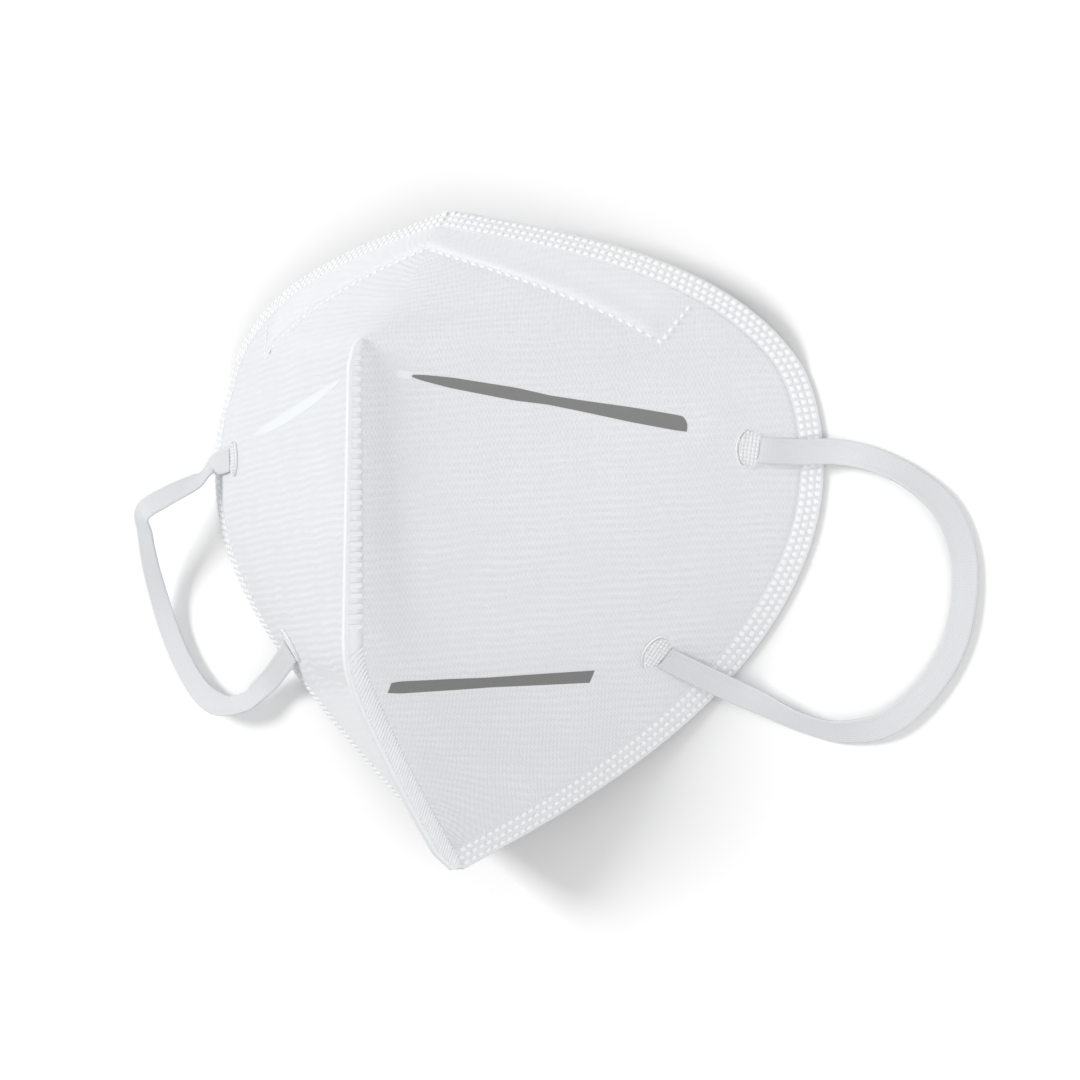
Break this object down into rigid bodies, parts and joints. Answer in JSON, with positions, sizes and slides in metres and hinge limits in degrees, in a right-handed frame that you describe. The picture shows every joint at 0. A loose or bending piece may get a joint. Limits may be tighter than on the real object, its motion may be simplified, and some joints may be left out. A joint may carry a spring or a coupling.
{
  "type": "disposable dust mask",
  "caption": "Fold-flat non-woven dust mask with a centre ridge, welded rim, nose wire and flat elastic ear loops, opened and lying on its rim.",
  "frame": {"origin": "middle of the mask's footprint on the surface it lies on, ear loops left out", "axes": "+X across the face toward the right ear loop, +Y from chin to nose, +Z out from the face"},
  "size_m": [0.2315, 0.1569, 0.0688],
  "materials": {
    "outer_fabric": "embossed white spunbond",
    "support_fabric": "fluffy white thermal-bonded layer",
    "filter_fabric": "fine white meltblown",
    "inner_fabric": "smooth white spunbond",
    "weld_film": "non-woven fused to film",
    "nose_wire": "plastic-coated wire strip",
    "nose_foam": "soft open-cell foam",
    "elastic": "flat knitted elastic"
  },
  "bodies": {
    "left_half": {"outer_ply_left": "outer_fabric", "outer_ply_folds": "outer_fabric", "support_ply_left": "support_fabric", "support_ply_folds": "support_fabric", "filter_ply_1_left": "filter_fabric", "filter_ply_1_folds": "filter_fabric", "filter_ply_2_left": "filter_fabric", "filter_ply_2_folds": "filter_fabric", "inner_ply_left": "inner_fabric", "inner_ply_folds": "inner_fabric", "rim_weld_left": "weld_film", "rim_weld_folds": "weld_film", "centre_seam": "weld_film", "chin_seam": "weld_film", "nose_wire": "nose_wire", "nose_foam": "nose_foam", "wire_pocket_seam": "weld_film", "crease_upper_left": "weld_film", "crease_lower_left": "weld_film", "crease_lower_right": "weld_film", "loop_weld_upper_left": "weld_film", "loop_weld_lower_left": "weld_film"},
    "right_half": {"outer_ply_right": "outer_fabric", "support_ply_right": "support_fabric", "filter_ply_1_right": "filter_fabric", "filter_ply_2_right": "filter_fabric", "inner_ply_right": "inner_fabric", "rim_weld_right": "weld_film", "crease_upper_right": "weld_film", "loop_weld_upper_right": "weld_film", "loop_weld_lower_right": "weld_film"},
    "ear_loop_left": {"ear_loop_left": "elastic"},
    "ear_loop_right": {"ear_loop_right": "elastic"}
  },
  "joints": [
    {"name": "centre_fold", "type": "hinge", "parent": "left_half", "child": "right_half", "pos_m": [0, 0, 0.0588], "axis": [0, 1, 0], "range_deg": [0, 80], "deforming": ["outer_ply_folds", "support_ply_folds", "filter_ply_1_folds", "filter_ply_2_folds", "inner_ply_folds", "rim_weld_folds", "chin_seam", "nose_wire", "nose_foam", "wire_pocket_seam", "crease_lower_left", "crease_lower_right"]},
    {"name": "left_loop_swing", "type": "hinge", "parent": "left_half", "child": "ear_loop_left", "pos_m": [-0.07727, 0.02043, 0.00928], "axis": [-0.4215, 0.9022, -0.0911], "range_deg": [0, 95]},
    {"name": "right_loop_swing", "type": "hinge", "parent": "right_half", "child": "ear_loop_right", "pos_m": [0.07727, 0.02043, 0.00928], "axis": [-0.4215, -0.9022, 0.0911], "range_deg": [0, 95]}
  ]
}
